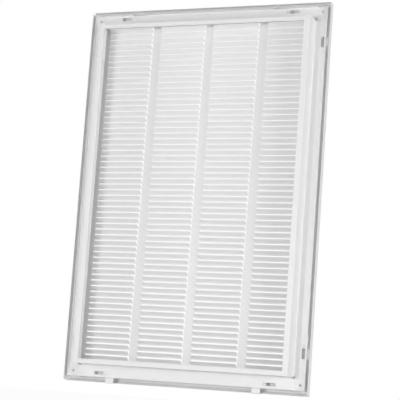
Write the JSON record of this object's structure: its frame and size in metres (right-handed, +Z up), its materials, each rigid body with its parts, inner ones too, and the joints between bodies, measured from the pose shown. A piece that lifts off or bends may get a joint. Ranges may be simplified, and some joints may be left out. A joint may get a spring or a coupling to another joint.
{
  "type": "return air filter grille",
  "caption": "Louvred sheet-steel return air grille with a hinged face panel over a wall frame that holds an air filter and fits a rectangular duct opening.",
  "frame": {"origin": "centre of the rectangle of screw holes, on the plane of the frame flange's wall side", "axes": "+Z up along the long side, +X to the right as seen from the room, -Y towards the room and +Y into the duct"},
  "size_m": [0.5746, 0.048, 0.8335],
  "materials": {
    "white_paint": "white powder coat on sheet steel, satin"
  },
  "bodies": {
    "frame": {"frame_rail_bottom": "white_paint", "frame_rail_top": "white_paint", "frame_stile_left": "white_paint", "frame_stile_right": "white_paint"},
    "face": {"face_panel": "white_paint"}
  },
  "joints": [
    {"name": "face_swing", "type": "hinge", "parent": "frame", "child": "face", "pos_m": [0, 0.0025, -0.41815], "axis": [1, 0, 0], "range_deg": [0, 90]}
  ]
}
